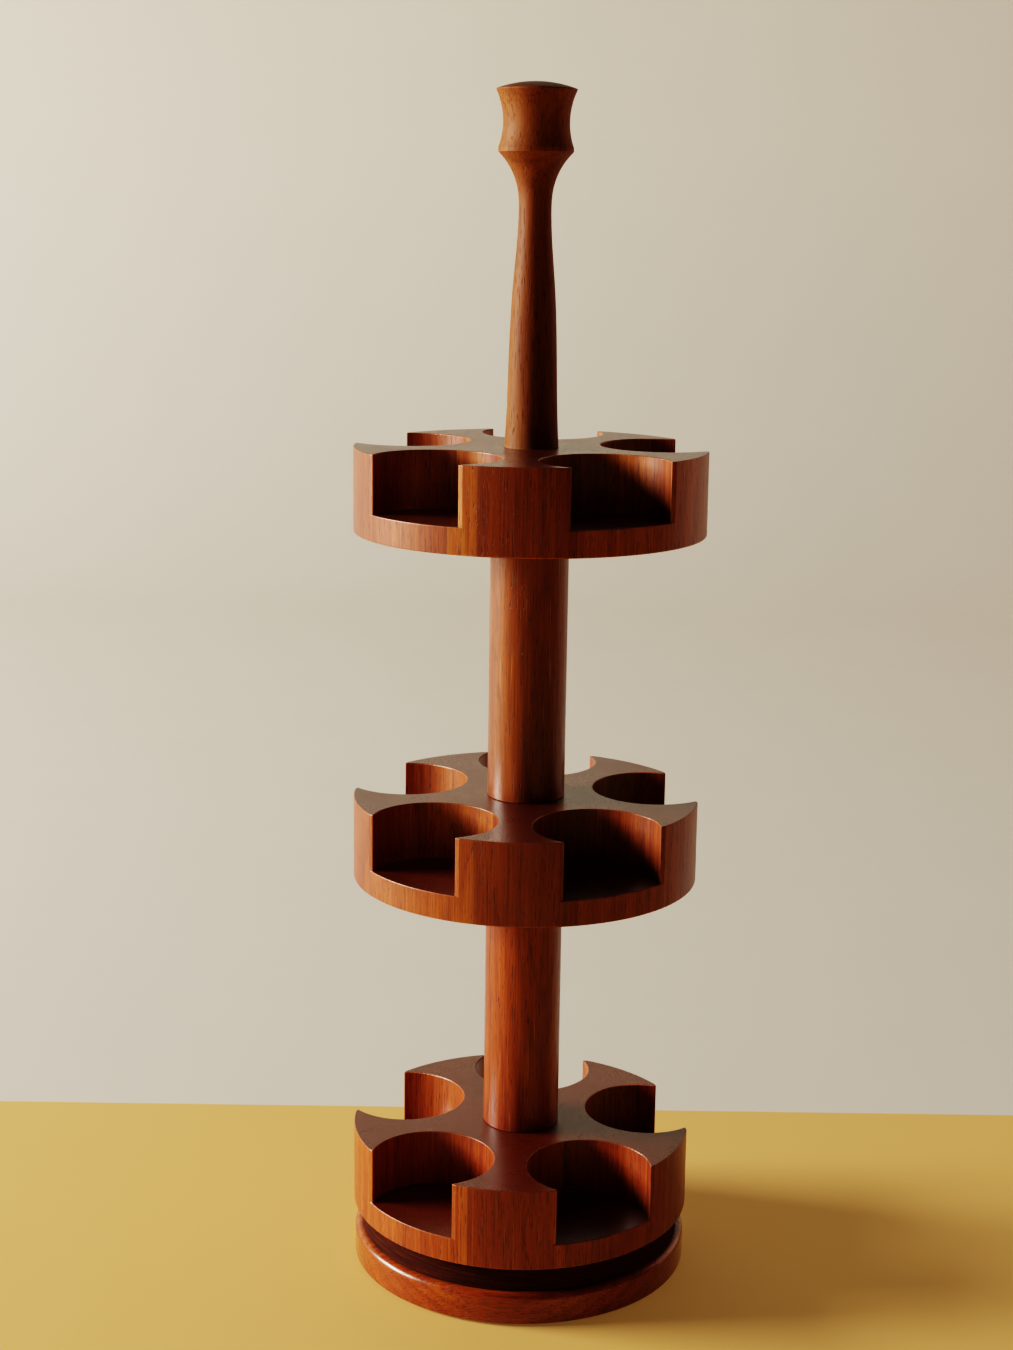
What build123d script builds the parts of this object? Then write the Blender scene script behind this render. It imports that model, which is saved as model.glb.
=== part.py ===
"""Revolving three-tier jar stand: a turned wooden tower that spins on a ball bearing in its base.

Millimetres. +Z is up and is the axis that the tower turns on. The origin is at the middle of the
underside. At rest, one prong of each shelf points to -Y.
"""
from build123d import *

import os

os.makedirs("parts", exist_ok=True)

# ---- Base --------------------------------------------------------------------------------------
felt_setback = 6.5  # in from the base's rim
felt_thickness = 0.8
base_r = 66.5
base_thickness = 12.2
base_shoulder_r = 2.6  # rounding of the upper rim
base_foot_r = 0.8  # rounding of the lower rim

# ---- Shelves -----------------------------------------------------------------------------------
shelf_r = 67.0
shelf_floor = 10.0  # wood under the pockets
pocket_depth = 22.0
pocket_count = 5
pocket_r = 23.8
pocket_setback = 15.5  # from the shelf's rim in to the middle of a pocket
prong_facet_rim = 2.9  # how far the flat that blunts a prong's tip runs back along the rim
prong_facet_wall = 0.9  # and how far it runs back along the pocket's wall
shelf_edge_r = 0.4

# ---- Posts and dowels --------------------------------------------------------------------------
post_r = 15.0
post_length = 103.5
post_edge_r = 0.4
dowel_r = 5.0
dowel_grip = 16.0  # how far a dowel enters a post, a blind shelf socket or the handle
dowel_end_chamfer = 0.8

# ---- Handle: radii, and heights above the top shelf ---------------------------------------------
handle_foot_r = 10.25
handle_foot_flare = 0.07  # how much the side leans in at the foot, per unit of height
handle_lower_r = 9.25
handle_lower_z = 24.0
handle_middle_r = 7.9
handle_middle_z = 59.0
neck_r = 6.05
neck_z = 87.6
flare_r = 6.95
flare_z = 96.2
bell_r = 9.6
bell_z = 102.6
ring_r = 13.9
ring_z = 108.0  # lower edge of the ring
ring_land = 1.4  # height of the ring's upright edge
waist_r = 12.25
waist_z = 118.0
rim_r = 15.0
rim_z = 130.3
handle_height = 133.0
handle_edge_r = 0.4

# ---- Ball bearing between the base and the bottom shelf ------------------------------------------
bearing_gap = 10.5  # from the base's top to the bottom shelf's underside
race_plate = 1.5
race_r = 41.0
race_hole_r = 12.0
track_r = 28.0  # from the axis to a ball's centre
track_width = 9.0
race_spacing = 3.5  # between the raised tracks
ball_r = 3.0
ball_count = 12
cage_thickness = 1.6
gap_ring_setback = 3.0  # the dark ring that hides the bearing, in from the base's rim
gap_ring_width = 10.0

# ---- Pivot ---------------------------------------------------------------------------------------
bolt_r = 4.0
bolt_head_r = 6.5
bolt_head_height = 4.5
bolt_head_recess = 0.5  # from the head down to the felt
bolt_key_across = 5.0
bolt_key_depth = 2.5
bolt_tip_gap = 1.0  # from the bolt's tip to the end of the insert
washer_r = 7.5
washer_thickness = 0.8
bush_wall = 1.5
bush_flange_r = 7.5
bush_flange_thickness = 1.0
insert_wall = 1.95
insert_length = 10.0

# ---- Wood screws that hold the races -------------------------------------------------------------
screw_count = 4
screw_circle_r = 36.7
screw_r = 1.5
screw_head_r = 3.0
screw_length = 8.5
screw_slot_width = 0.8
screw_slot_depth = 0.6

# ---- Clearances, on the radius or along the axis ---------------------------------------------------
running_clearance = 0.05  # bolt in its bush
glue_clearance = 0.05  # dowels, bush and insert in wood, screws in their pilot holes
rolling_clearance = 0.1  # balls in their tracks and cage
screw_head_clearance = 0.1
pivot_play = 0.1  # between the thrust washer and the bush's flange
gap_ring_clearance = 1.0  # below the turning shelf
head_side_clearance = 1.5  # from the washer and flange to the counterbore's wall
socket_end_gap = 0.5  # glue space past a dowel's end

# ---- Levels ----------------------------------------------------------------------------------------
base_bottom = felt_thickness
base_top = base_bottom + base_thickness
bottom_shelf_z = base_top + bearing_gap
shelf_thickness = shelf_floor + pocket_depth
lower_post_z = bottom_shelf_z + shelf_thickness
middle_shelf_z = lower_post_z + post_length
upper_post_z = middle_shelf_z + shelf_thickness
top_shelf_z = upper_post_z + post_length
handle_z = top_shelf_z + shelf_thickness

bolt_head_z = base_bottom + bolt_head_recess
washer_z = bolt_head_z + bolt_head_height
bush_flange_z = washer_z + washer_thickness + pivot_play
counterbore_roof_z = bush_flange_z + bush_flange_thickness
counterbore_r = max(washer_r, bush_flange_r, bolt_head_r) + head_side_clearance
bolt_tip_z = bottom_shelf_z + insert_length - bolt_tip_gap
ball_z = base_top + bearing_gap / 2

felt_r = base_r - felt_setback
gap_ring_r = base_r - gap_ring_setback
pocket_centre_r = shelf_r - pocket_setback
first_pocket_angle = -90 + 180 / pocket_count  # half a pitch from the prong that points to -Y
bush_r = bolt_r + running_clearance + bush_wall
insert_r = bolt_r + glue_clearance + insert_wall
screw_tilt = 45  # first screw's angle round the axis, degrees


def save(piece, name):
    """Label a finished piece and write it to its own file."""
    piece.part.label = name
    export_step(piece.part, f"parts/{name}.step")


def round_cut(radius, low, high):
    """Cut an upright round hole from low to high at the current locations of the current part."""
    with Locations((0, 0, low)):
        Cylinder(radius, high - low, align=(Align.CENTER, Align.CENTER, Align.MIN), mode=Mode.SUBTRACT)


def pilot_holes(low, high):
    """Cut the race screws' pilot holes from low to high in the current part."""
    with PolarLocations(screw_circle_r, screw_count, start_angle=screw_tilt):
        round_cut(screw_r + glue_clearance, low, high)


# ==== Base ========================================================================================
with BuildPart() as base_felt:
    with BuildSketch():
        Circle(felt_r)
    extrude(amount=felt_thickness)
save(base_felt, "base_felt")

with BuildPart() as base_disc:
    with BuildSketch(Plane.XY.offset(base_bottom)):
        Circle(base_r)
    extrude(amount=base_thickness)
    fillet(base_disc.edges().group_by(Axis.Z)[-1], base_shoulder_r)
    fillet(base_disc.edges().group_by(Axis.Z)[0], base_foot_r)
    round_cut(counterbore_r, base_bottom, counterbore_roof_z)
    round_cut(bush_r + glue_clearance, counterbore_roof_z, base_top)
    pilot_holes(base_top + race_plate - screw_length, base_top)
save(base_disc, "base_disc")

with BuildPart() as pivot_bush:
    with BuildSketch(Plane.XY.offset(bush_flange_z)):
        Circle(bush_flange_r)
    extrude(amount=bush_flange_thickness)
    with BuildSketch(Plane.XY.offset(counterbore_roof_z)):
        Circle(bush_r)
    extrude(amount=base_top - counterbore_roof_z)
    round_cut(bolt_r + running_clearance, bush_flange_z, base_top)
save(pivot_bush, "pivot_bush")


# ==== Ball bearing ================================================================================
def race(plate_z, up):
    """A screwed-on ring with a raised ball track. up is 1 if the track is on top, -1 if below."""
    track_height = (bearing_gap - race_spacing) / 2 - race_plate
    with BuildPart() as ring:
        with BuildSketch(Plane.XZ):
            with Locations(((race_hole_r + race_r) / 2, plate_z + up * race_plate / 2)):
                Rectangle(race_r - race_hole_r, race_plate)
            with Locations((track_r, plate_z + up * (race_plate + track_height / 2))):
                Rectangle(track_width, track_height)
            with Locations((track_r, ball_z)):
                Circle(ball_r + rolling_clearance, mode=Mode.SUBTRACT)
        revolve(axis=Axis.Z)
        face = Plane(origin=(0, 0, plate_z + up * race_plate), z_dir=(0, 0, up))
        with Locations(face):
            with PolarLocations(screw_circle_r, screw_count, start_angle=screw_tilt):
                CounterSinkHole(
                    screw_r + screw_head_clearance,
                    screw_head_r + screw_head_clearance,
                    counter_sink_angle=90,
                )
    return ring


def race_screws(head_z, up):
    """Countersunk screws in one group. Their heads lie at head_z and face up (1) or down (-1)."""
    cone = screw_head_r - screw_r
    with BuildPart() as group:
        with Locations(Plane(origin=(0, 0, head_z), z_dir=(0, 0, up))):
            with PolarLocations(screw_circle_r, screw_count, start_angle=screw_tilt):
                Cone(screw_r, screw_head_r, cone, align=(Align.CENTER, Align.CENTER, Align.MAX))
                Cylinder(screw_r, screw_length - screw_r, align=(Align.CENTER, Align.CENTER, Align.MAX))
        with Locations(Plane(origin=(0, 0, head_z - up * (screw_length - screw_r)), z_dir=(0, 0, up))):
            with PolarLocations(screw_circle_r, screw_count, start_angle=screw_tilt):
                Cone(0, screw_r, screw_r, align=(Align.CENTER, Align.CENTER, Align.MAX))
        with Locations(Plane(origin=(0, 0, head_z), z_dir=(0, 0, up))):
            with PolarLocations(screw_circle_r, screw_count, start_angle=screw_tilt):
                Box(2 * screw_head_r, screw_slot_width, 2 * screw_slot_depth, mode=Mode.SUBTRACT)
    return group


lower_race = race(base_top, 1)
save(lower_race, "lower_race")

lower_race_screws = race_screws(base_top + race_plate, 1)
save(lower_race_screws, "lower_race_screws")

upper_race = race(bottom_shelf_z, -1)
save(upper_race, "upper_race")

upper_race_screws = race_screws(bottom_shelf_z - race_plate, -1)
save(upper_race_screws, "upper_race_screws")

with BuildPart() as ball_cage:
    with BuildSketch(Plane.XY.offset(ball_z - cage_thickness / 2)):
        Circle(track_r + track_width / 2)
        Circle(track_r - track_width / 2, mode=Mode.SUBTRACT)
        with PolarLocations(track_r, ball_count):
            Circle(ball_r + rolling_clearance, mode=Mode.SUBTRACT)
    extrude(amount=cage_thickness)
save(ball_cage, "ball_cage")

with BuildPart() as bearing_balls:
    with Locations(Plane.XY.offset(ball_z)):
        with PolarLocations(track_r, ball_count):
            Sphere(ball_r)
save(bearing_balls, "bearing_balls")

with BuildPart() as gap_ring:
    with BuildSketch(Plane.XY.offset(base_top)):
        Circle(gap_ring_r)
        Circle(gap_ring_r - gap_ring_width, mode=Mode.SUBTRACT)
    extrude(amount=bearing_gap - gap_ring_clearance)
save(gap_ring, "gap_ring")

# ==== Pivot =======================================================================================
with BuildPart() as pivot_bolt:
    with BuildSketch(Plane.XY.offset(bolt_head_z)):
        Circle(bolt_head_r)
    extrude(amount=bolt_head_height)
    chamfer(pivot_bolt.edges().group_by(Axis.Z)[0], bolt_head_recess)
    with BuildSketch(Plane.XY.offset(washer_z)):
        Circle(bolt_r)
    extrude(amount=bolt_tip_z - washer_z)
    chamfer(pivot_bolt.edges().group_by(Axis.Z)[-1], bolt_r / 5)
    with BuildSketch(Plane.XY.offset(bolt_head_z)):
        RegularPolygon(bolt_key_across / 2, 6, major_radius=False)
    extrude(amount=bolt_key_depth, mode=Mode.SUBTRACT)
save(pivot_bolt, "pivot_bolt")

with BuildPart() as thrust_washer:
    with BuildSketch(Plane.XY.offset(washer_z)):
        Circle(washer_r)
        Circle(bolt_r + glue_clearance, mode=Mode.SUBTRACT)
    extrude(amount=washer_thickness)
save(thrust_washer, "thrust_washer")

with BuildPart() as threaded_insert:
    with BuildSketch(Plane.XY.offset(bottom_shelf_z)):
        Circle(insert_r)
        Circle(bolt_r + glue_clearance, mode=Mode.SUBTRACT)
    extrude(amount=insert_length)
save(threaded_insert, "threaded_insert")


# ==== Shelves =====================================================================================
def shelf_block(z):
    """A round shelf with open-fronted pockets, its underside at height z and no joint holes yet."""
    floor_z = z + shelf_floor
    bottom = Plane.XY.offset(z).rotated((0, 0, first_pocket_angle))
    with BuildPart() as block:
        with BuildSketch(bottom):
            Circle(shelf_r)
        extrude(amount=shelf_floor)
        with BuildSketch(bottom.offset(shelf_floor)) as star:
            Circle(shelf_r)
            with PolarLocations(pocket_centre_r, pocket_count):
                Circle(pocket_r, mode=Mode.SUBTRACT)
            for front in star.edges().filter_by(lambda edge: abs(edge.radius - shelf_r) < 0.001):
                chamfer(front.vertices(), prong_facet_rim, prong_facet_wall, reference=front)
        extrude(amount=pocket_depth)
        at_floor = block.edges().filter_by_position(Axis.Z, floor_z, floor_z)
        lips = at_floor.filter_by(GeomType.CIRCLE).filter_by(lambda edge: edge.radius > shelf_r - 0.001)
        upright = block.edges().filter_by(Axis.Z).filter_by_position(Axis.Z, floor_z, z + shelf_thickness)
        fillet(block.edges().group_by(Axis.Z)[-1] + lips + upright, shelf_edge_r)
        fillet(block.edges().group_by(Axis.Z)[0], shelf_edge_r)
    return block.part


with BuildPart() as bottom_shelf:
    add(shelf_block(bottom_shelf_z))
    round_cut(insert_r + glue_clearance, bottom_shelf_z, bottom_shelf_z + insert_length)
    round_cut(dowel_r + glue_clearance, lower_post_z - dowel_grip - socket_end_gap, lower_post_z)
    pilot_holes(bottom_shelf_z, bottom_shelf_z - race_plate + screw_length)
save(bottom_shelf, "bottom_shelf")

with BuildPart() as middle_shelf:
    add(shelf_block(middle_shelf_z))
    round_cut(dowel_r + glue_clearance, middle_shelf_z, upper_post_z)
save(middle_shelf, "middle_shelf")

with BuildPart() as top_shelf:
    add(shelf_block(top_shelf_z))
    round_cut(dowel_r + glue_clearance, top_shelf_z, handle_z)
save(top_shelf, "top_shelf")


# ==== Posts and dowels ============================================================================
def post(z):
    """A plain round post from height z, with a dowel socket in each end."""
    socket_depth = dowel_grip + socket_end_gap
    with BuildPart() as turned:
        with BuildSketch(Plane.XY.offset(z)):
            Circle(post_r)
        extrude(amount=post_length)
        fillet(turned.edges().filter_by(GeomType.CIRCLE), post_edge_r)
        round_cut(dowel_r + glue_clearance, z, z + socket_depth)
        round_cut(dowel_r + glue_clearance, z + post_length - socket_depth, z + post_length)
    return turned


def dowel(low, high):
    """A round dowel with chamfered ends between two heights."""
    with BuildPart() as peg:
        with BuildSketch(Plane.XY.offset(low)):
            Circle(dowel_r)
        extrude(amount=high - low)
        chamfer(peg.edges().filter_by(GeomType.CIRCLE), dowel_end_chamfer)
    return peg


lower_post = post(lower_post_z)
save(lower_post, "lower_post")

upper_post = post(upper_post_z)
save(upper_post, "upper_post")

lower_dowel = dowel(lower_post_z - dowel_grip, lower_post_z + dowel_grip)
save(lower_dowel, "lower_dowel")

middle_dowel = dowel(middle_shelf_z - dowel_grip, upper_post_z + dowel_grip)
save(middle_dowel, "middle_dowel")

upper_dowel = dowel(top_shelf_z - dowel_grip, handle_z + dowel_grip)
save(upper_dowel, "upper_dowel")

# ==== Handle ======================================================================================
with BuildPart() as handle:
    with BuildSketch(Plane(origin=(0, 0, handle_z), x_dir=(1, 0, 0), z_dir=(0, -1, 0))):
        with BuildLine():
            Polyline((0, handle_height), (0, 0), (handle_foot_r, 0))
            Spline(
                (handle_foot_r, 0),
                (handle_lower_r, handle_lower_z),
                (handle_middle_r, handle_middle_z),
                (neck_r, neck_z),
                tangents=((-handle_foot_flare, 1), (0, 1)),
            )
            Spline(
                (neck_r, neck_z),
                (flare_r, flare_z),
                (bell_r, bell_z),
                (ring_r, ring_z),
                tangents=((0, 1), (1, 1)),
            )
            Line((ring_r, ring_z), (ring_r, ring_z + ring_land))
            ThreePointArc((ring_r, ring_z + ring_land), (waist_r, waist_z), (rim_r, rim_z))
            TangentArc((0, handle_height), (rim_r, rim_z), tangent=(1, 0))
        make_face()
    revolve(axis=Axis.Z)
    fillet(handle.edges().filter_by(GeomType.CIRCLE).sort_by(SortBy.RADIUS)[-3:], handle_edge_r)
    round_cut(dowel_r + glue_clearance, handle_z, handle_z + dowel_grip + socket_end_gap)
save(handle, "handle")
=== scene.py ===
"""Looks, light and camera for the revolving jar stand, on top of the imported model.

Metres, in the model's own frame. The material recipes work in millimetres of rest position.
"""
import math

import bpy
from mathutils import Matrix, Vector

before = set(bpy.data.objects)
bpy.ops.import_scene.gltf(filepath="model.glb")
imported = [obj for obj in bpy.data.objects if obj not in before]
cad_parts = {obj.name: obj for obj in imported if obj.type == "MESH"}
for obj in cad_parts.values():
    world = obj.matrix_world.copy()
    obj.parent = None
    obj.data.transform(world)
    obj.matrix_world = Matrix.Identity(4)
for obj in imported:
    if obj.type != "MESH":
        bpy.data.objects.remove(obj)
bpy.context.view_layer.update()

# ---- Camera ------------------------------------------------------------------------------------
CAMERA_PLACE = (0.07105, -0.8052, 0.41495)
CAMERA_YAW = 0.0981  # left of +Y, radians
CAMERA_PITCH = -0.2152
CAMERA_ROLL = 0.014
CAMERA_LENS = 57.21
SENSOR_WIDTH = 36

# ---- Light -------------------------------------------------------------------------------------
AIM = Vector((0, 0, 0.23))  # the middle of the stand, which both lights face
KEY_BEARING = math.radians(182)  # where the window light stands, seen from the axis
KEY_HEIGHT_ANGLE = math.radians(15.5)
KEY_DISTANCE = 2.6
KEY_SIZE = (1.1, 0.75)
KEY_POWER = 114.0
KEY_COLOUR = (1.0, 0.93, 0.84)
BOUNCE_BEARING = math.radians(38)  # the far side of the room gives a little warm light back
BOUNCE_HEIGHT_ANGLE = math.radians(12)
BOUNCE_DISTANCE = 2.4
BOUNCE_SIZE = (1.5, 1.5)
BOUNCE_POWER = 6.5
BOUNCE_COLOUR = (1.0, 0.50, 0.32)
FILL_COLOUR = (1.0, 0.72, 0.55)  # what the rest of the room gives from all round
FILL_STRENGTH = 0.04
BACKDROP_COLOUR = (0.50, 0.475, 0.415)  # what shows past the sheets

# ---- Stage -------------------------------------------------------------------------------------
SHEETS_FRONT = -3.0  # where the table and the sweep begin, well behind the camera
TABLE_COLOUR = (0.68, 0.42, 0.15)
TABLE_GLOW = 0.16
TABLE_EDGE = 0.135  # how far behind the axis the table ends
TABLE_HALF_WIDTH = 2.99
SWEEP_COLOUR = (0.62, 0.59, 0.51)
SWEEP_GLOW = 0.14
SWEEP_HALF_WIDTH = 3.0
SWEEP_FLOOR = -0.001  # just under the table
SWEEP_WALL = 1.9  # how far behind the axis its wall stands
SWEEP_TOP = 2.4
SWEEP_CURVE = 0.5  # radius between its floor and its wall
SWEEP_STEPS = 16
SHEET_ROUGHNESS = 0.75
SHEET_MOTTLE = 0.01  # features in a millimetre
SHEET_DARK = 0.95  # the mottle's dark end, as a share of the sheet's colour

# ---- Wood --------------------------------------------------------------------------------------
# How many features of each figure lie in a millimetre across, across and along the grain
WANDER = (0.016, 0.016, 0.0045)
FIBRES = (2.1, 2.1, 0.034)
BANDS = (0.30, 0.30, 0.0075)
PATCHES = (0.020, 0.020, 0.011)
DASHES = (2.0, 2.0, 0.16)
VESSELS = (1.3, 1.3, 0.034)
SCUFFS = (1.1, 1.1, 0.022)
BREAKUP = 0.16
DENTS = (0.42, 0.42, 0.20)
SMUDGES = 0.035
SURFACE_WAVES = (0.055, 0.055, 0.03)

# The same for the rays, in a radian round the pith and in a millimetre outwards and along the grain
RAYS = (210.0, 0.22, 0.55)

# Where each piece, and each board of a piece, is cut from the endless log
PIECE_STEP = (13.1, -7.7, 41.3)
BOARD_STEP = (23.7, -31.3, 71.9)
BOARD_SPREAD = 0.37  # how many steps more each joint takes than the one before it
PITH_STEP = (0.6, 0.5, 0)  # how much of a board's step its pith takes
PITH_LEAN = 0.045  # how far the pith moves sideways in a millimetre of length
GLUE_LINE = 0.16  # half its width, mm

RING_SPACING = (0.11, 1, 1)  # features in a millimetre outwards from the pith
RING_UNEVEN = 3.0  # how many rings the uneven spacing adds at most
RING_SHADES = (0.73, 1, 1)  # features in a ring
RING_ROW = (3.3, 7.1)  # the row of the noise that holds the rings' shades
EARLY_END = 0.26  # share of a ring that its early wood takes
LATE_START = 0.55

# How far each figure moves the tone, which picks the colour from the palette. Late and early wood
# are darker than what lies between them.
MIDDLE_TONE = 0.53
FIBRE_TONE = 0.72
BAND_TONE = 0.30
RAY_TONE = 0.10
RING_TONE = 0.16
LATE_TONE = 0.10
EARLY_TONE = 0.07

# Where each mark begins and is full, as values of its noise
PORE_START = 0.648
PORE_CROWD = -0.050  # pores begin sooner in the early wood
PORE_RISE = 0.035
VESSEL_RANGE = (0.665, 0.71)
SCUFF_RANGE = (0.69, 0.75)
BREAKUP_RANGE = (0.34, 0.62)
DENT_RANGE = (0.835, 0.86)
END_RANGE = (0.80, 1.0)  # how far a face has turned to the end of the grain
LEAST_RUBBED_AND_HIGHLIT = 0.15  # where an edge is rubbed least and its painted highlight weakest

# How strongly each mark colours the wood
PORE_DARK = 0.62
VESSEL_DARK = 0.34
GLUE_DARK = 0.55
DENT_DARK = 0.35
# end grain darker, and on the tops and undersides also painted shade
END_GRAIN_AND_SHADE_DARK = 0.50
# rubbed edges: partly wear, partly a painted highlight along every edge
RUBBED_AND_HIGHLIT_PALE = 0.38
RUBBED_AND_HIGHLIT_EDGE = 0.0007  # m

# What each mark adds to the roughness, and what end grain takes off it
PORE_ROUGH = 0.16
FIBRE_ROUGH = 0.14
SMUDGE_ROUGH = 0.16
RUBBED_ROUGH = 0.05
END_SMOOTH = 0.18

# Relief, as shares of its depth
WOOD_RELIEF = 0.00010  # m
FIBRE_HEIGHT = 0.30
PORE_DEPTH = 0.75
DENT_DEPTH = 1.2
GLUE_DEPTH = 0.5
WAVE_HEIGHT = 1.4

OIL_IOR = 1.52

# ---- All materials -----------------------------------------------------------------------------
MM_PER_M = 1000.0
EDGE_SAMPLES = 4
FLAT_MATCH = 0.995  # how well a softened normal agrees with the face's own one on a flat face
EDGE_MATCH = 0.86  # and how well at an edge


# ==== Material recipes ==========================================================================
class Recipe:
    """One procedural material, with short calls that add a node and join it up."""

    def __init__(self, name):
        self.material = bpy.data.materials.new(name)
        self.material.use_nodes = True
        self.tree = self.material.node_tree
        self.shader = self.tree.nodes["Principled BSDF"]

    def feed(self, socket, value):
        """Join a socket to another one, or give it a number or a colour."""
        if isinstance(value, bpy.types.NodeSocket):
            self.tree.links.new(value, socket)
        elif hasattr(value, "__len__") and socket.type == "RGBA":
            socket.default_value = (*value[:3], 1)
        else:
            socket.default_value = value

    def add(self, kind, **settings):
        node = self.tree.nodes.new("ShaderNode" + kind)
        for key, value in settings.items():
            setattr(node, key, value)
        return node

    def set(self, **values):
        """Sockets of the Principled shader, by name with _ for a space."""
        for key, value in values.items():
            self.feed(self.shader.inputs[key.replace("_", " ")], value)

    def math(self, operation, *values, clamp=False):
        node = self.add("Math", operation=operation, use_clamp=clamp)
        for socket, value in zip(node.inputs, values):
            self.feed(socket, value)
        return node.outputs[0]

    def vector(self, operation, *values):
        node = self.add("VectorMath", operation=operation)
        for socket, value in zip(node.inputs, values):
            self.feed(socket, value)
        return node.outputs["Value" if operation in ("LENGTH", "DOT_PRODUCT") else "Vector"]

    def split(self, vector):
        node = self.add("SeparateXYZ")
        self.feed(node.inputs[0], vector)
        return node.outputs[0], node.outputs[1], node.outputs[2]

    def join(self, x, y, z):
        node = self.add("CombineXYZ")
        for socket, value in zip(node.inputs, (x, y, z)):
            self.feed(socket, value)
        return node.outputs[0]

    def noise(self, vector, stretch, detail=2.0, rough=0.5, out="Fac"):
        """Noise with stretch features in a unit, the same all round or one number for each axis."""
        if not hasattr(stretch, "__len__"):
            stretch = (stretch, stretch, stretch)
        node = self.add("TexNoise")
        self.feed(node.inputs["Vector"], self.vector("MULTIPLY", vector, stretch))
        self.feed(node.inputs["Scale"], 1.0)
        self.feed(node.inputs["Detail"], detail)
        self.feed(node.inputs["Roughness"], rough)
        return node.outputs[out]

    def remap(self, value, low, high, to_low=0.0, to_high=1.0):
        node = self.add("MapRange")
        for socket, number in zip(node.inputs, (value, low, high, to_low, to_high)):
            self.feed(socket, number)
        return node.outputs[0]

    def swing(self, value, amount):
        """How far a value lies from a half, times the amount."""
        return self.math("MULTIPLY", self.math("SUBTRACT", value, 0.5), amount)

    def ramp(self, factor, stops):
        """Colour ramp through (place, colour) stops."""
        node = self.add("ValToRGB")
        marks = node.color_ramp.elements
        while len(marks) < len(stops):
            marks.new(0.5)
        for mark, (place, colour) in zip(marks, stops):
            mark.position = place
            mark.color = (*colour, 1)
        self.feed(node.inputs[0], factor)
        return node.outputs[0]

    def mix(self, factor, first, second, how="MIX"):
        node = self.add("Mix", data_type="RGBA", blend_type=how)
        factor_socket, first_socket, second_socket = node.inputs[0], node.inputs[6], node.inputs[7]
        self.feed(factor_socket, factor)
        self.feed(first_socket, first)
        self.feed(second_socket, second)
        return node.outputs[2]

    def place(self):
        """Rest position in millimetres."""
        node = self.add("VectorMath", operation="SCALE")
        self.feed(node.inputs[0], self.add("TexCoord").outputs["Object"])
        self.feed(node.inputs["Scale"], MM_PER_M)
        return node.outputs[0]

    def edge(self, radius):
        """0 on flat faces, towards 1 where an outer or inner edge is nearer than the radius."""
        bevel = self.add("Bevel", samples=EDGE_SAMPLES)
        bevel.inputs["Radius"].default_value = radius
        flat = self.add("NewGeometry").outputs["Normal"]
        same = self.vector("DOT_PRODUCT", bevel.outputs[0], flat)
        return self.remap(same, FLAT_MATCH, EDGE_MATCH)

    def bump(self, height, depth):
        node = self.add("Bump")
        node.inputs["Distance"].default_value = depth
        self.feed(node.inputs["Height"], height)
        self.feed(self.shader.inputs["Normal"], node.outputs[0])


# Palettes: the ramp from the darkest wood to the lightest, and the colours of the wood's marks
TEAK = {
    "stops": (
        (0.0, (0.070, 0.0075, 0.0020)),
        (0.30, (0.180, 0.0240, 0.0045)),
        (0.55, (0.325, 0.0630, 0.0090)),
        (0.78, (0.480, 0.1400, 0.0200)),
        (1.0, (0.640, 0.2600, 0.0500)),
    ),
    "worn": (0.80, 0.42, 0.20),
    "pore": (0.085, 0.013, 0.004),
    "end": (0.34, 0.085, 0.014),
}
BROWN_TEAK = {
    "stops": (
        (0.0, (0.065, 0.0135, 0.0030)),
        (0.30, (0.150, 0.0370, 0.0065)),
        (0.55, (0.225, 0.0690, 0.0110)),
        (0.78, (0.310, 0.1140, 0.0210)),
        (1.0, (0.420, 0.1850, 0.0450)),
    ),
    "worn": (0.62, 0.34, 0.16),
    "pore": (0.085, 0.016, 0.005),
    "end": (0.30, 0.085, 0.020),
}
BEECH = {
    "stops": (
        (0.0, (0.42, 0.24, 0.11)),
        (0.35, (0.55, 0.34, 0.17)),
        (0.6, (0.64, 0.42, 0.23)),
        (1.0, (0.74, 0.54, 0.33)),
    ),
    "worn": (0.8, 0.66, 0.46),
    "pore": (0.30, 0.16, 0.07),
    "end": (0.56, 0.36, 0.19),
}


def between(first, second, share):
    """A palette that lies a share of the way from the first one to the second."""
    def blend(a, b):
        return tuple((1 - share) * p + share * q for p, q in zip(a, b))
    mixed = {part: blend(first[part], second[part]) for part in ("worn", "pore", "end")}
    mixed["stops"] = tuple((place, blend(colour, other))
                           for (place, colour), (_, other) in zip(first["stops"], second["stops"]))
    return mixed


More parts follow.
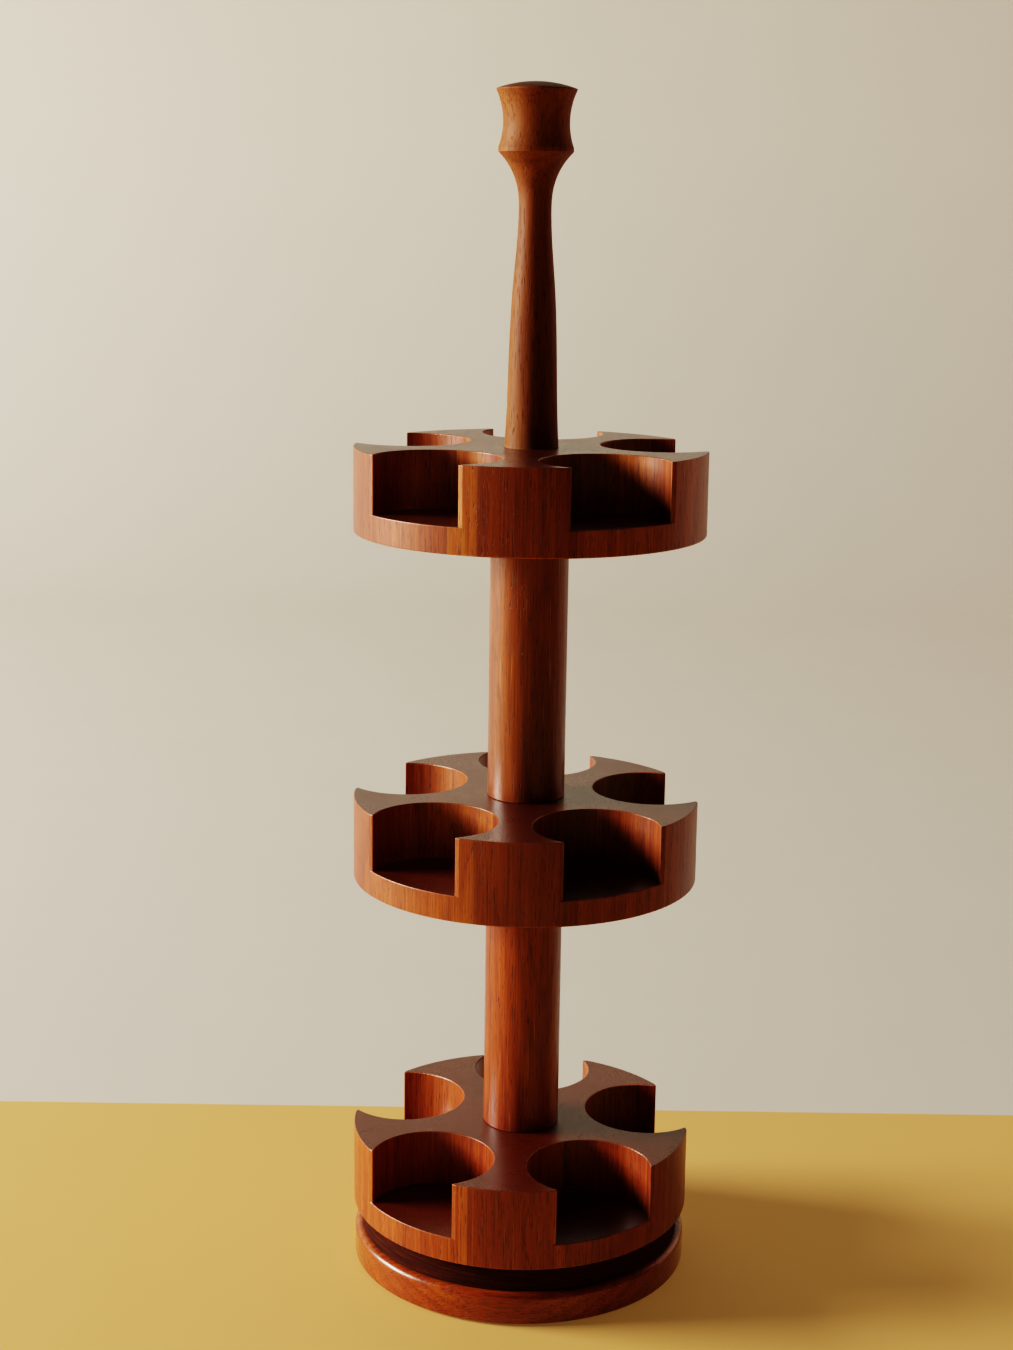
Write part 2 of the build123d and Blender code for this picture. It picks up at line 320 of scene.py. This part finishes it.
class Wood(Recipe):
    """Solid wood. Each method is one step, and leaves on self what the later steps need."""

    def __init__(self, name, palette, along):
        super().__init__(name)
        self.palette = palette
        self.along = along
        self.here = self.place()
        if along == "X":
            x, y, z = self.split(self.here)
            self.here = self.join(y, z, x)

    def tint(self, mark, amount, part):
        """Bring in one colour of the palette where a mark is, by the amount."""
        self.colour = self.mix(self.math("MULTIPLY", mark, amount), self.colour, self.palette[part])

    def glue_boards(self, boards, turn, lightness, seed):
        """Find which board each place is in, how light it is, and where the glue lines are."""
        across = self.vector("DOT_PRODUCT", self.here, (math.cos(turn), math.sin(turn), 0))
        board = 0.0
        self.tone = lightness
        self.glue = 0.0
        before = lightness
        for number, (joint, light) in enumerate(boards, 1):
            past = self.math("GREATER_THAN", across, joint)
            board = self.math("MULTIPLY_ADD", past, 1.0 + BOARD_SPREAD * number, board)
            self.tone = self.math("MULTIPLY_ADD", past, light - before, self.tone)
            self.glue = self.math("ADD", self.glue, self.math("COMPARE", across, joint, GLUE_LINE))
            before = light
        self.shift = self.vector("MULTIPLY", self.join(board, board, board), BOARD_STEP)
        self.grain = self.vector("ADD", self.vector("ADD", self.here, self.shift),
                                 tuple(seed * step for step in PIECE_STEP))

    def grow_rings(self, pith, wandering, ring_width):
        """Rings round the pith, with a slow wander so that they aren't perfect circles."""
        wander = self.noise(self.grain, WANDER, out="Color")
        wander = self.vector("SUBTRACT", wander, (0.5, 0.5, 0.5))
        wander = self.vector("MULTIPLY", wander, (wandering, wandering, 0))
        centred = self.vector("SUBTRACT", self.vector("ADD", self.here, wander), (*pith, 0))
        centred = self.vector("ADD", centred, self.vector("MULTIPLY", self.shift, PITH_STEP))
        x, y, z = self.split(centred)
        # the pith leans, which draws cathedral figures on flat-sawn faces
        x = self.math("MULTIPLY_ADD", z, PITH_LEAN, x)
        radius = self.vector("LENGTH", self.join(x, y, 0.0))
        spacing = self.noise(self.join(radius, 0.0, 0.0), RING_SPACING, detail=1.0)
        even = self.math("DIVIDE", radius, ring_width)
        phase = self.math("ADD", even, self.math("MULTIPLY", spacing, RING_UNEVEN))
        within = self.math("FRACT", phase)
        self.early = self.remap(within, 0.0, EARLY_END, 1.0, 0.0)
        self.late = self.remap(within, LATE_START, 1.0)
        ring = self.join(self.math("FLOOR", phase), *RING_ROW)
        self.ring_shade = self.noise(ring, RING_SHADES, detail=0.0)
        polar = self.join(self.math("ARCTAN2", y, x), radius, z)
        self.rays = self.noise(polar, RAYS, detail=1.0)

    def colour_figure(self, patchy):
        """Fibres, broad bands and warm patches, over the rings and the rays."""
        self.fibres = self.noise(self.grain, FIBRES, detail=3.0, rough=0.66)
        bands = self.noise(self.grain, BANDS, rough=0.55)
        patches = self.noise(self.grain, PATCHES)
        tone = self.math("ADD", MIDDLE_TONE, self.tone)
        for value, amount in ((self.fibres, FIBRE_TONE), (bands, BAND_TONE), (patches, patchy),
                              (self.rays, RAY_TONE), (self.ring_shade, RING_TONE)):
            tone = self.math("ADD", tone, self.swing(value, amount))
        tone = self.math("SUBTRACT", tone, self.math("MULTIPLY", self.late, LATE_TONE))
        tone = self.math("SUBTRACT", tone, self.math("MULTIPLY", self.early, EARLY_TONE))
        self.colour = self.ramp(tone, self.palette["stops"])

    def open_pores(self):
        """Short dark dashes along the grain, crowded in the early wood of each ring."""
        start = self.math("MULTIPLY_ADD", self.early, PORE_CROWD, PORE_START)
        dashes = self.noise(self.grain, DASHES, detail=1.0, rough=0.4)
        self.pores = self.remap(self.math("SUBTRACT", dashes, start), 0.0, PORE_RISE)
        vessels = self.remap(self.noise(self.grain, VESSELS, detail=1.0), *VESSEL_RANGE)
        self.tint(self.pores, PORE_DARK, "pore")
        self.tint(vessels, VESSEL_DARK, "pore")
        self.tint(self.glue, GLUE_DARK, "pore")

    def scuff(self, scuffed):
        """Long pale streaks where the oil has worn off."""
        streaks = self.noise(self.grain, SCUFFS, detail=1.0, rough=0.6)
        self.tint(self.remap(streaks, *SCUFF_RANGE), scuffed, "worn")

    def darken_end_grain_and_shade(self, end_grain_and_shade_tint):
        """End grain drinks more oil and dries darker; the strong darkening of the tops and undersides
        is also painted shade.
        """
        normal_x, _, normal_z = self.split(self.add("TexCoord").outputs["Normal"])
        facing = self.math("ABSOLUTE", normal_x if self.along == "X" else normal_z)
        self.end = self.remap(facing, *END_RANGE)
        self.tint(self.end, END_GRAIN_AND_SHADE_DARK, "end")
        self.colour = self.mix(self.end, self.colour, end_grain_and_shade_tint, "MULTIPLY")

    def wear(self):
        """Handling: rubbed edges, which are partly a painted highlight along every edge, and a few
        small dents.
        """
        breakup = self.noise(self.here, BREAKUP, detail=3.0, rough=0.6)
        breakup = self.remap(breakup, *BREAKUP_RANGE, LEAST_RUBBED_AND_HIGHLIT)
        self.rubbed = self.math("MULTIPLY", self.edge(RUBBED_AND_HIGHLIT_EDGE), breakup)
        self.tint(self.rubbed, RUBBED_AND_HIGHLIT_PALE, "worn")
        self.dents = self.remap(self.noise(self.here, DENTS, detail=0.0), *DENT_RANGE)
        self.tint(self.dents, DENT_DARK, "pore")

    def oil(self, satin, specular, coat, coat_satin):
        """The oiled surface: duller in the pores, glossier on end grain, uneven from handling."""
        rough = self.math("ADD", satin, self.math("MULTIPLY", self.pores, PORE_ROUGH))
        rough = self.math("ADD", rough, self.swing(self.fibres, FIBRE_ROUGH))
        rough = self.math("ADD", rough, self.swing(self.noise(self.here, SMUDGES), SMUDGE_ROUGH))
        rough = self.math("ADD", rough, self.math("MULTIPLY", self.rubbed, RUBBED_ROUGH), clamp=True)
        rough = self.math("SUBTRACT", rough, self.math("MULTIPLY", self.end, END_SMOOTH))
        self.set(Base_Color=self.colour, Roughness=rough, IOR=OIL_IOR, Specular_IOR_Level=specular)
        self.set(Coat_Weight=coat, Coat_Roughness=coat_satin)

    def raise_grain(self):
        """Fine relief: raised fibres, sunk pores, dents and glue lines, and a wavy surface."""
        height = self.math("MULTIPLY", self.fibres, FIBRE_HEIGHT)
        sunk = ((self.pores, PORE_DEPTH), (self.dents, DENT_DEPTH), (self.glue, GLUE_DEPTH))
        for mark, depth in sunk:
            height = self.math("SUBTRACT", height, self.math("MULTIPLY", mark, depth))
        waves = self.noise(self.here, SURFACE_WAVES, detail=1.0)
        self.bump(self.math("ADD", height, self.swing(waves, WAVE_HEIGHT)), WOOD_RELIEF)


def wood(name, palette, pith, seed, boards=(), turn=0.0, along="Z", ring_width=3.4,
         lightness=0.0, satin=0.47, patchy=0.484, wandering=26, coat=0.40,
         coat_satin=0.32, specular=0.5, end_grain_and_shade_tint=(0.36, 0.24, 0.20), scuffed=0.10):
    """Solid wood whose rings run round a far pith line, cut into glued boards if any are given.

    boards holds pairs of (joint place in mm, lightness of the wood past it), and lightness is that
    of the first board. turn is the bearing of the joints' normal, in radians. along is the grain's
    direction. pith and ring_width are in mm. satin and coat_satin are roughnesses, and scuffed is
    how strongly the worn streaks show. Each piece has its own seed.
    """
    piece = Wood(name, palette, along)
    piece.glue_boards(boards, turn, lightness, seed)
    piece.grow_rings(pith, wandering, ring_width)
    piece.colour_figure(patchy)
    piece.open_pores()
    piece.scuff(scuffed)
    piece.darken_end_grain_and_shade(end_grain_and_shade_tint)
    piece.wear()
    piece.oil(satin, specular, coat, coat_satin)
    piece.raise_grain()
    return piece.material


def metal(name, colour, dark, satin, streak, scratch=0.5):
    """Turned or plated metal: lathe lines round the axis, faint stains and rubbed edges."""
    stain_stretch = 0.22
    dark_range = (0.42, 0.72)  # values of the stain's noise that darken the metal
    dull_range = (0.5, 0.8)  # and those that dull it
    stain_rough = 0.14
    line_range = (0.3, 0.7)
    smoothest, roughest = 0.8, 1.25  # across the lathe lines, as shares of satin
    edge_radius = 0.0002
    edge_pale = 1.25  # rubbed edges, as a share of the colour
    edge_rubbed = 0.5
    line_depth = 0.00002
    r = Recipe(name)
    here = r.place()
    x, y, z = r.split(here)
    radius = r.vector("LENGTH", r.join(x, y, 0.0))
    lines = r.noise(r.join(radius, z, 0.0), (streak, streak, 1), rough=0.7)
    stain = r.noise(here, stain_stretch, detail=4.0, rough=0.65)
    tint = r.mix(r.remap(stain, *dark_range), colour, dark)
    pale = tuple(min(1, edge_pale * channel) for channel in colour)
    tint = r.mix(r.math("MULTIPLY", r.edge(edge_radius), edge_rubbed), tint, pale)
    turned = r.remap(lines, *line_range, satin * smoothest, satin * roughest)
    stained = r.remap(stain, *dull_range, 0.0, stain_rough)
    r.set(Base_Color=tint, Metallic=1.0, Roughness=r.math("ADD", turned, stained))
    r.bump(r.math("MULTIPLY", lines, scratch), line_depth)
    return r.material


def felt(name):
    """Pressed wool felt: short fibres in every direction, with a soft sheen."""
    green = (
        (0.2, (0.010, 0.028, 0.016)),
        (0.5, (0.026, 0.068, 0.040)),
        (0.85, (0.060, 0.125, 0.080)),
    )
    fuzz_stretch = 2.2
    fuzz_tone = 1.3
    fuzz_range = (0.2, 0.8)
    clump_stretch = 0.25
    roughness = (0.86, 1.0)
    sheen = 0.5
    fibre_depth = 0.00035
    r = Recipe(name)
    here = r.place()
    fuzz = r.noise(here, fuzz_stretch, detail=5.0, rough=0.75)
    clumps = r.noise(here, clump_stretch, detail=3.0, rough=0.6)
    r.set(Base_Color=r.ramp(r.math("ADD", r.swing(fuzz, fuzz_tone), clumps), green))
    r.set(Roughness=r.remap(fuzz, *fuzz_range, *roughness), Sheen_Weight=sheen, Sheen_Roughness=sheen)
    r.bump(fuzz, fibre_depth)
    return r.material


def dark_board(name):
    """Fine-grained board, very dark brown and matt: painted shade, a dark ring that stands for the
    shade in the gap under the bottom shelf.
    """
    brown = (
        (0.25, (0.022, 0.0042, 0.0016)),
        (0.5, (0.050, 0.0092, 0.0032)),
        (0.8, (0.090, 0.0190, 0.0065)),
    )
    edge_brown = (0.13, 0.035, 0.012)
    edge_radius = 0.0006
    edge_rubbed = 0.5
    chip_stretch = (1.4, 1.4, 2.6)
    chip_tone = 0.9
    chip_range = (0.3, 0.7)
    chip_depth = 0.00008
    layer_stretch = (0.05, 0.05, 1.1)
    roughness = (0.74, 0.90)
    specular = 0.2
    r = Recipe(name)
    here = r.place()
    chips = r.noise(here, chip_stretch, detail=4.0, rough=0.7)
    layers = r.noise(here, layer_stretch, rough=0.6)
    stain = r.ramp(r.math("ADD", r.swing(chips, chip_tone), layers), brown)
    stain = r.mix(r.math("MULTIPLY", r.edge(edge_radius), edge_rubbed), stain, edge_brown)
    r.set(Base_Color=stain, Roughness=r.remap(chips, *chip_range, *roughness))
    r.set(Specular_IOR_Level=specular)
    r.bump(chips, chip_depth)
    return r.material


# ==== Looks, by node ============================================================================
SHELF_BROWN = 0.3  # how far the upper shelves' teak lies towards the brown kind
POST_BROWN = 0.5
SHELF_TEAK = between(TEAK, BROWN_TEAK, SHELF_BROWN)
POST_TEAK = between(TEAK, BROWN_TEAK, POST_BROWN)
LOOKS = {
    "base_disc": wood("teak_base", TEAK, (18, -70), 1, along="X", lightness=0.02, ring_width=3.0,
                      satin=0.29, patchy=0.22, wandering=9, coat_satin=0.22,
                      end_grain_and_shade_tint=(0.85, 0.74, 0.70)),
    "bottom_shelf": wood("teak_bottom_shelf", TEAK, (-58, 92), 2, turn=0.10, lightness=0.08,
                         boards=((-44, 0.06), (-20, -0.03), (17, -0.02), (49, -0.06))),
    "middle_shelf": wood("teak_middle_shelf", SHELF_TEAK, (64, 88), 3, turn=-0.08, lightness=-0.01,
                         boards=((-35, 0.15), (-7, -0.11), (30, -0.02))),
    "top_shelf": wood("teak_top_shelf", SHELF_TEAK, (-72, 84), 4, turn=0.05, lightness=-0.01,
                      boards=((-27, 0.17), (-16, -0.03), (19, 0.08), (46, 0.0))),
    "lower_post": wood("teak_lower_post", TEAK, (-46, 58), 5, ring_width=2.6,
                       satin=0.42, scuffed=0.26),
    "upper_post": wood("teak_upper_post", POST_TEAK, (34, -52), 6, ring_width=3.2, lightness=-0.06,
                       satin=0.38, scuffed=0.34),
    "handle": wood("teak_handle", BROWN_TEAK, (26, 30), 7, ring_width=2.6, satin=0.58, coat=0.0,
                   specular=0.28),
    "base_felt": felt("felt"),
    # painted shade: the dark ring fills the shaded gap between the bottom shelf and the base
    "gap_ring": dark_board("dark_board"),
    "bearing_balls": metal("ball_steel", (0.68, 0.68, 0.70), (0.52, 0.52, 0.53), 0.10, 1.2, 0.1),
}

DOWEL_PITHS = {"lower_dowel": (20, 34), "middle_dowel": (24, 30), "upper_dowel": (28, 36)}
FIRST_DOWEL_SEED = 8
for seed, (node, pith) in enumerate(DOWEL_PITHS.items(), FIRST_DOWEL_SEED):
    LOOKS[node] = wood("beech_" + node, BEECH, pith, seed, ring_width=2.2, satin=0.62, coat=0.0)

STEEL = metal("zinc_steel", (0.60, 0.61, 0.62), (0.42, 0.42, 0.40), 0.30, 2.5)
for node in ("lower_race", "lower_race_screws", "upper_race", "upper_race_screws", "pivot_bolt",
             "thrust_washer"):
    LOOKS[node] = STEEL

BRASS = metal("brass", (0.72, 0.50, 0.20), (0.46, 0.29, 0.11), 0.28, 3.0)
for node in ("pivot_bush", "ball_cage", "threaded_insert"):
    LOOKS[node] = BRASS

for node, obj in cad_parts.items():
    obj.data.materials.clear()
    obj.data.materials.append(LOOKS[node])


# ==== Stage =====================================================================================
def stage_sheet(name, profile, half_width, colour, glow):
    """A sheet swept along X from a (y, z) profile, with a quiet mottled material."""
    verts = [(side * half_width, y, z) for y, z in profile for side in (-1, 1)]
    faces = [(2 * i, 2 * i + 1, 2 * i + 3, 2 * i + 2) for i in range(len(profile) - 1)]
    mesh = bpy.data.meshes.new(name)
    mesh.from_pydata(verts, [], faces)
    mesh.shade_smooth()
    sheet = bpy.data.objects.new(name, mesh)
    bpy.context.scene.collection.objects.link(sheet)
    r = Recipe(name + "_paint")
    mottle = r.noise(r.place(), SHEET_MOTTLE, detail=3.0)
    dark = tuple(SHEET_DARK * channel for channel in colour)
    r.set(Base_Color=r.mix(mottle, dark, colour), Roughness=SHEET_ROUGHNESS)
    r.set(Emission_Color=colour, Emission_Strength=glow)
    sheet.data.materials.append(r.material)
    sheet.rotation_euler.z = CAMERA_YAW


def sweep_profile():
    """A floor, a quarter circle and a wall, as (y, z) points."""
    profile = [(SHEETS_FRONT, SWEEP_FLOOR)]
    for step in range(SWEEP_STEPS + 1):
        turn = math.pi / 2 * step / SWEEP_STEPS
        y = SWEEP_WALL - SWEEP_CURVE * (1 - math.sin(turn))
        z = SWEEP_FLOOR + SWEEP_CURVE * (1 - math.cos(turn))
        profile.append((y, z))
    profile.append((SWEEP_WALL, SWEEP_TOP))
    return profile


stage_sheet("sweep", sweep_profile(), SWEEP_HALF_WIDTH, SWEEP_COLOUR, SWEEP_GLOW)
stage_sheet("table", [(SHEETS_FRONT, 0.0), (TABLE_EDGE, 0.0)], TABLE_HALF_WIDTH, TABLE_COLOUR,
            TABLE_GLOW)


# ==== Light =====================================================================================
def soft_light(name, bearing, height_angle, distance, size, power, colour):
    """A rectangular area light that stands round the axis from AIM and faces it."""
    data = bpy.data.lights.new(name, "AREA")
    data.shape = "RECTANGLE"
    data.size, data.size_y = size
    data.energy = power
    data.color = colour
    light = bpy.data.objects.new(name, data)
    light.visible_camera = False
    bpy.context.scene.collection.objects.link(light)
    away = Vector((math.cos(bearing) * math.cos(height_angle),
                   math.sin(bearing) * math.cos(height_angle), math.sin(height_angle)))
    light.location = AIM + distance * away
    light.rotation_euler = away.to_track_quat("Z", "Y").to_euler()


def room_world():
    """A dim warm room lights the object, and a plain pale one shows behind it from any side."""
    world = bpy.data.worlds.new("room")
    world.use_nodes = True
    nodes = world.node_tree.nodes
    links = world.node_tree.links
    fill = nodes["Background"]
    fill.inputs["Color"].default_value = (*FILL_COLOUR, 1)
    fill.inputs["Strength"].default_value = FILL_STRENGTH
    backdrop = nodes.new("ShaderNodeBackground")
    backdrop.inputs["Color"].default_value = (*BACKDROP_COLOUR, 1)
    choice = nodes.new("ShaderNodeMixShader")
    links.new(nodes.new("ShaderNodeLightPath").outputs["Is Camera Ray"], choice.inputs["Fac"])
    links.new(fill.outputs[0], choice.inputs[1])
    links.new(backdrop.outputs[0], choice.inputs[2])
    links.new(choice.outputs[0], nodes["World Output"].inputs["Surface"])
    bpy.context.scene.world = world


soft_light("window", KEY_BEARING, KEY_HEIGHT_ANGLE, KEY_DISTANCE, KEY_SIZE, KEY_POWER, KEY_COLOUR)
soft_light("bounce", BOUNCE_BEARING, BOUNCE_HEIGHT_ANGLE, BOUNCE_DISTANCE, BOUNCE_SIZE, BOUNCE_POWER,
           BOUNCE_COLOUR)
room_world()

# ==== Camera ====================================================================================
camera_data = bpy.data.cameras.new("camera")
camera_data.lens = CAMERA_LENS
camera_data.sensor_width = SENSOR_WIDTH
camera = bpy.data.objects.new("camera", camera_data)
bpy.context.scene.collection.objects.link(camera)
camera.matrix_world = (Matrix.Translation(CAMERA_PLACE) @ Matrix.Rotation(CAMERA_YAW, 4, "Z")
                       @ Matrix.Rotation(math.pi / 2 + CAMERA_PITCH, 4, "X")
                       @ Matrix.Rotation(CAMERA_ROLL, 4, "Z"))
bpy.context.scene.camera = camera

view = bpy.context.scene.view_settings
view.view_transform = "Filmic"
view.look = "Very High Contrast"
